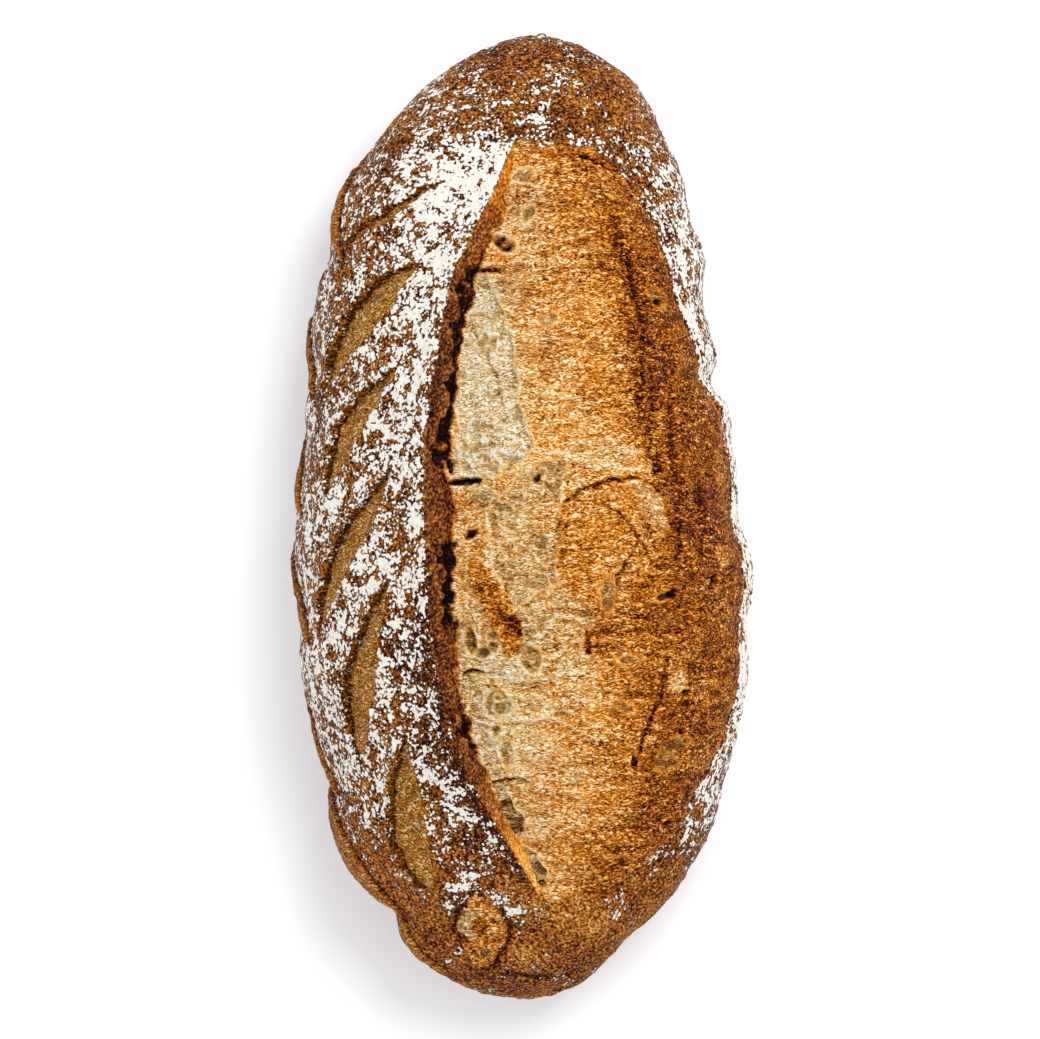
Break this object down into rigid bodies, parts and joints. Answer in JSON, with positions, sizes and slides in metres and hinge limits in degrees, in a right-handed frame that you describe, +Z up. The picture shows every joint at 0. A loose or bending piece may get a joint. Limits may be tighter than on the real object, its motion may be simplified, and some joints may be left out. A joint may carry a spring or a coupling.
{
  "type": "sourdough loaf",
  "caption": "Oval hand-shaped bread loaf with one long opened cut, a raised lip and leaf-shaped scores, resting on a flat underside.",
  "frame": {"origin": "on the surface that the loaf rests on, under the middle of its box", "axes": "+Y along the loaf towards its narrower end, +Z up out of the crown, +X across it towards the side that the bloom opened to"},
  "size_m": [0.1404, 0.3, 0.0845],
  "materials": {
    "baked_crust": "matte"
  },
  "bodies": {
    "root": {"loaf": "baked_crust"}
  },
  "joints": []
}
